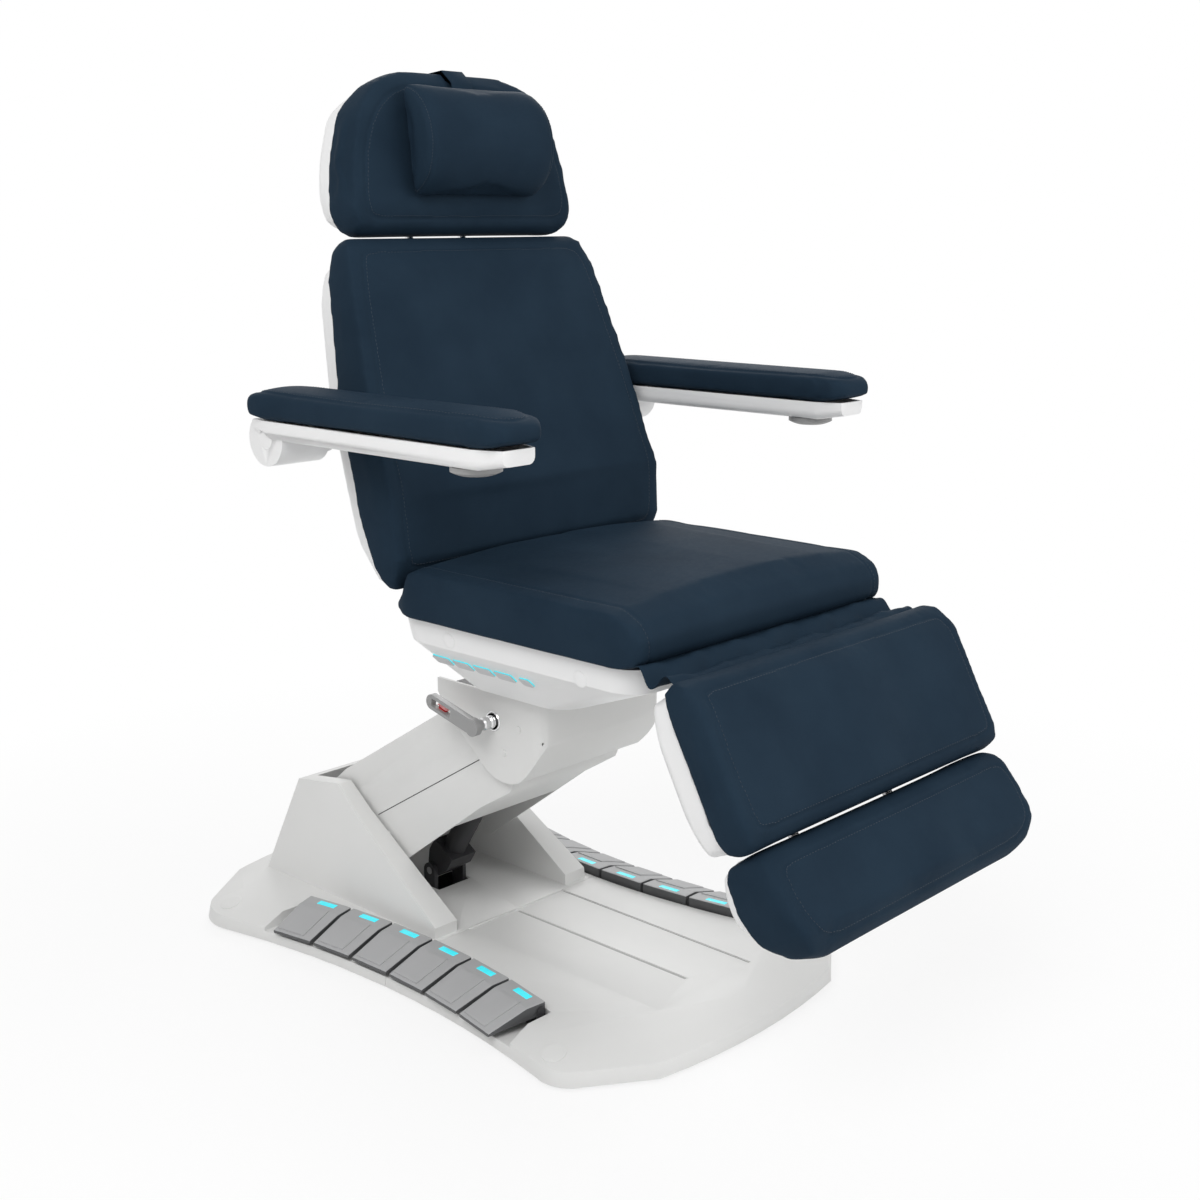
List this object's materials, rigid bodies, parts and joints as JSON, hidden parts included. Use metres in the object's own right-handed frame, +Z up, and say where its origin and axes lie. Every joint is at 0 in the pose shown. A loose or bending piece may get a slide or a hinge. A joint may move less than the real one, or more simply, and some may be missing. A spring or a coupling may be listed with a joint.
{
  "type": "procedure chair",
  "caption": "Electric procedure chair with a navy seat, reclining back, headrest, fold-up arms, hanging legrest and foot switches on a grey base",
  "frame": {"origin": "on the floor under the middle of the chair's outline", "axes": "+Z up, chair faces -Y, +X to the sitter's left"},
  "size_m": [0.8938, 1.4461, 1.4999],
  "materials": {
    "navy_leather": "matte navy upholstery leather with a fine grain",
    "white_shell": "white moulded shell, gloss",
    "warm_grey_cover": "light warm grey moulded cover, satin",
    "pedal_grey": "mid grey moulded foot switch",
    "dark_frame": "dark powder coat",
    "bare_steel": "ground steel",
    "bright_stem": "bright plated stem",
    "foot_rubber": "black rubber",
    "button_white": "light push button",
    "lever_grey": "grey moulded grip"
  },
  "bodies": {
    "base": {"base_front_cover": "warm_grey_cover", "base_rear_cover": "warm_grey_cover", "base_frame": "dark_frame", "levelling_feet": "foot_rubber", "base_pivot_pins": "bare_steel", "pedal_hinges": "dark_frame"},
    "lift_arm": {"lift_arm_frame": "dark_frame", "lift_arm_cover": "warm_grey_cover"},
    "link": {"levelling_link": "dark_frame"},
    "lift_motor_body": {"lift_motor": "dark_frame"},
    "lift_rod_body": {"lift_rod": "bare_steel"},
    "column": {"column_frame": "dark_frame", "column_cover": "warm_grey_cover", "column_pivot_pins": "bare_steel", "swivel_bearing": "bare_steel"},
    "lever": {"lock_lever": "lever_grey"},
    "seat": {"seat_frame": "dark_frame", "seat_pan": "white_shell", "seat_cushion": "navy_leather", "seat_motors": "dark_frame"},
    "back_rod_body": {"back_rod": "bare_steel"},
    "leg_rod_body": {"leg_rod": "bare_steel"},
    "back": {"back_frame": "dark_frame", "back_shell": "white_shell", "back_cushion": "navy_leather"},
    "stems": {"head_stems": "bright_stem"},
    "head": {"head_shell": "white_shell", "head_cushion": "navy_leather", "neck_roll": "navy_leather"},
    "leg": {"leg_frame": "dark_frame", "leg_shell": "white_shell", "leg_cushion": "navy_leather"},
    "foot": {"foot_rails": "bare_steel", "foot_shell": "white_shell", "foot_cushion": "navy_leather"},
    "left_bracket": {"left_arm_bracket": "bare_steel"},
    "left_arm": {"left_arm_tray": "white_shell", "left_arm_pad": "navy_leather"},
    "left_knob": {"left_arm_knob": "lever_grey"},
    "right_bracket": {"right_arm_bracket": "bare_steel"},
    "right_arm": {"right_arm_tray": "white_shell", "right_arm_pad": "navy_leather"},
    "right_knob": {"right_arm_knob": "lever_grey"},
    "preset_button_1_body": {"preset_button_1": "button_white"},
    "preset_button_2_body": {"preset_button_2": "button_white"},
    "preset_button_3_body": {"preset_button_3": "button_white"},
    "preset_button_4_body": {"preset_button_4": "button_white"},
    "power_button_body": {"power_button": "button_white"},
    "left_pedal_1_body": {"left_pedal_1": "pedal_grey"},
    "left_pedal_2_body": {"left_pedal_2": "pedal_grey"},
    "left_pedal_3_body": {"left_pedal_3": "pedal_grey"},
    "left_pedal_4_body": {"left_pedal_4": "pedal_grey"},
    "left_pedal_5_body": {"left_pedal_5": "pedal_grey"},
    "left_pedal_6_body": {"left_pedal_6": "pedal_grey"},
    "right_pedal_1_body": {"right_pedal_1": "pedal_grey"},
    "right_pedal_2_body": {"right_pedal_2": "pedal_grey"},
    "right_pedal_3_body": {"right_pedal_3": "pedal_grey"},
    "right_pedal_4_body": {"right_pedal_4": "pedal_grey"},
    "right_pedal_5_body": {"right_pedal_5": "pedal_grey"},
    "right_pedal_6_body": {"right_pedal_6": "pedal_grey"}
  },
  "joints": [
    {"name": "lift", "type": "hinge", "parent": "base", "child": "lift_arm", "pos_m": [0, 0.47, 0.165], "axis": [-1, 0, 0], "range_deg": [-15, 23]},
    {"name": "link_swing", "type": "hinge", "parent": "base", "child": "link", "pos_m": [0, 0.47, 0.227], "axis": [-1, 0, 0], "range_deg": [-15, 23]},
    {"name": "column_level", "type": "hinge", "parent": "lift_arm", "child": "column", "pos_m": [0, 0.06501, 0.41512], "axis": [-1, 0, 0], "range_deg": [-23, 15]},
    {"name": "motor_swing", "type": "hinge", "parent": "base", "child": "lift_motor_body", "pos_m": [0, 0.33, 0.076], "axis": [-1, 0, 0], "range_deg": [-15, 23]},
    {"name": "rod_extend", "type": "slide", "parent": "lift_motor_body", "child": "lift_rod_body", "axis": [0, -0.538, 0.8429], "range_m": [-0.045, 0.068]},
    {"name": "lever_lift", "type": "hinge", "parent": "column", "child": "lever", "pos_m": [-0.16, 0.03501, 0.45612], "axis": [1, 0, 0], "range_deg": [0, 30]},
    {"name": "swivel", "type": "hinge", "parent": "column", "child": "seat", "pos_m": [0, 0.01, 0.51512], "axis": [0, 0, 1], "range_deg": [-120, 120]},
    {"name": "recline", "type": "hinge", "parent": "seat", "child": "back", "pos_m": [0, 0.122, 0.6686], "axis": [-1, 0, 0], "range_deg": [0, 68]},
    {"name": "back_rod_move", "type": "slide", "parent": "seat", "child": "back_rod_body", "axis": [0, 1, 0], "range_m": [-0.075, 0.002]},
    {"name": "legrest", "type": "hinge", "parent": "seat", "child": "leg", "pos_m": [0, -0.422, 0.6326], "axis": [-1, 0, 0], "range_deg": [-5, 62]},
    {"name": "leg_rod_move", "type": "slide", "parent": "seat", "child": "leg_rod_body", "axis": [0, -1, 0], "range_m": [-0.006, 0.06]},
    {"name": "footrest_out", "type": "slide", "parent": "leg", "child": "foot", "axis": [0, -0.4695, -0.8829], "range_m": [0, 0.15]},
    {"name": "headrest_up", "type": "slide", "parent": "back", "child": "stems", "axis": [0, 0.3355, 0.9421], "range_m": [0, 0.09]},
    {"name": "head_tilt", "type": "hinge", "parent": "stems", "child": "head", "pos_m": [0, 0.32835, 1.26599], "axis": [-1, 0, 0], "range_deg": [0, 30]},
    {"name": "left_bracket_level", "type": "hinge", "parent": "back", "child": "left_bracket", "pos_m": [0.328, 0.23079, 0.93239], "axis": [-1, 0, 0], "range_deg": [-68, 0]},
    {"name": "left_arm_flip", "type": "hinge", "parent": "left_bracket", "child": "left_arm", "pos_m": [0.388, 0.23079, 0.93239], "axis": [-1, 0, 0], "range_deg": [0, 95]},
    {"name": "left_knob_turn", "type": "hinge", "parent": "left_arm", "child": "left_knob", "pos_m": [0.39, -0.20021, 0.925], "axis": [0, 0, 1], "continuous": true},
    {"name": "right_bracket_level", "type": "hinge", "parent": "back", "child": "right_bracket", "pos_m": [-0.328, 0.23079, 0.93239], "axis": [-1, 0, 0], "range_deg": [-68, 0]},
    {"name": "right_arm_flip", "type": "hinge", "parent": "right_bracket", "child": "right_arm", "pos_m": [-0.388, 0.23079, 0.93239], "axis": [-1, 0, 0], "range_deg": [0, 95]},
    {"name": "right_knob_turn", "type": "hinge", "parent": "right_arm", "child": "right_knob", "pos_m": [-0.39, -0.20021, 0.925], "axis": [0, 0, 1], "continuous": true},
    {"name": "preset_button_1_press", "type": "slide", "parent": "seat", "child": "preset_button_1_body", "axis": [0.6957, 0, 0.7184], "range_m": [0, 0.002], "stiffness_N_per_m": 400, "springref_m": -0.001},
    {"name": "preset_button_2_press", "type": "slide", "parent": "seat", "child": "preset_button_2_body", "axis": [0.6957, 0, 0.7184], "range_m": [0, 0.002], "stiffness_N_per_m": 400, "springref_m": -0.001},
    {"name": "preset_button_3_press", "type": "slide", "parent": "seat", "child": "preset_button_3_body", "axis": [0.6957, 0, 0.7184], "range_m": [0, 0.002], "stiffness_N_per_m": 400, "springref_m": -0.001},
    {"name": "preset_button_4_press", "type": "slide", "parent": "seat", "child": "preset_button_4_body", "axis": [0.6957, 0, 0.7184], "range_m": [0, 0.002], "stiffness_N_per_m": 400, "springref_m": -0.001},
    {"name": "power_button_press", "type": "slide", "parent": "seat", "child": "power_button_body", "axis": [0.6957, 0, 0.7184], "range_m": [0, 0.002], "stiffness_N_per_m": 400, "springref_m": -0.001},
    {"name": "left_pedal_1_press", "type": "hinge", "parent": "base", "child": "left_pedal_1_body", "pos_m": [0.24038, -0.12708, 0.049], "axis": [-0.1762, 0.9844, 0], "range_deg": [0, 3.5], "stiffness_Nm_per_rad": 12, "springref_deg": -2.86},
    {"name": "left_pedal_2_press", "type": "hinge", "parent": "base", "child": "left_pedal_2_body", "pos_m": [0.22607, -0.02676, 0.049], "axis": [-0.106, 0.9944, 0], "range_deg": [0, 3.5], "stiffness_Nm_per_rad": 12, "springref_deg": -2.86},
    {"name": "left_pedal_3_press", "type": "hinge", "parent": "base", "child": "left_pedal_3_body", "pos_m": [0.2189, 0.07433, 0.049], "axis": [-0.0354, 0.9994, 0], "range_deg": [0, 3.5], "stiffness_Nm_per_rad": 12, "springref_deg": -2.86},
    {"name": "left_pedal_4_press", "type": "hinge", "parent": "base", "child": "left_pedal_4_body", "pos_m": [0.2189, 0.17567, 0.049], "axis": [0.0354, 0.9994, 0], "range_deg": [0, 3.5], "stiffness_Nm_per_rad": 12, "springref_deg": -2.86},
    {"name": "left_pedal_5_press", "type": "hinge", "parent": "base", "child": "left_pedal_5_body", "pos_m": [0.22607, 0.27676, 0.049], "axis": [0.106, 0.9944, 0], "range_deg": [0, 3.5], "stiffness_Nm_per_rad": 12, "springref_deg": -2.86},
    {"name": "left_pedal_6_press", "type": "hinge", "parent": "base", "child": "left_pedal_6_body", "pos_m": [0.24038, 0.37708, 0.049], "axis": [0.1762, 0.9844, 0], "range_deg": [0, 3.5], "stiffness_Nm_per_rad": 12, "springref_deg": -2.86},
    {"name": "right_pedal_1_press", "type": "hinge", "parent": "base", "child": "right_pedal_1_body", "pos_m": [-0.24038, -0.12708, 0.049], "axis": [-0.1762, -0.9844, 0], "range_deg": [0, 3.5], "stiffness_Nm_per_rad": 12, "springref_deg": -2.86},
    {"name": "right_pedal_2_press", "type": "hinge", "parent": "base", "child": "right_pedal_2_body", "pos_m": [-0.22607, -0.02676, 0.049], "axis": [-0.106, -0.9944, 0], "range_deg": [0, 3.5], "stiffness_Nm_per_rad": 12, "springref_deg": -2.86},
    {"name": "right_pedal_3_press", "type": "hinge", "parent": "base", "child": "right_pedal_3_body", "pos_m": [-0.2189, 0.07433, 0.049], "axis": [-0.0354, -0.9994, 0], "range_deg": [0, 3.5], "stiffness_Nm_per_rad": 12, "springref_deg": -2.86},
    {"name": "right_pedal_4_press", "type": "hinge", "parent": "base", "child": "right_pedal_4_body", "pos_m": [-0.2189, 0.17567, 0.049], "axis": [0.0354, -0.9994, 0], "range_deg": [0, 3.5], "stiffness_Nm_per_rad": 12, "springref_deg": -2.86},
    {"name": "right_pedal_5_press", "type": "hinge", "parent": "base", "child": "right_pedal_5_body", "pos_m": [-0.22607, 0.27676, 0.049], "axis": [0.106, -0.9944, 0], "range_deg": [0, 3.5], "stiffness_Nm_per_rad": 12, "springref_deg": -2.86},
    {"name": "right_pedal_6_press", "type": "hinge", "parent": "base", "child": "right_pedal_6_body", "pos_m": [-0.24038, 0.37708, 0.049], "axis": [0.1762, -0.9844, 0], "range_deg": [0, 3.5], "stiffness_Nm_per_rad": 12, "springref_deg": -2.86}
  ],
  "couplings": [
    {"joint": "link_swing", "follows": "lift", "ratio": 1},
    {"joint": "column_level", "follows": "lift", "ratio": -1},
    {"joint": "motor_swing", "follows": "lift", "ratio": 0.96},
    {"joint": "rod_extend", "follows": "lift", "m_per_rad": 0.166},
    {"joint": "back_rod_move", "follows": "recline", "m_per_rad": -0.061},
    {"joint": "leg_rod_move", "follows": "legrest", "m_per_rad": 0.0527},
    {"joint": "left_bracket_level", "follows": "recline", "ratio": -1},
    {"joint": "right_bracket_level", "follows": "recline", "ratio": -1}
  ]
}
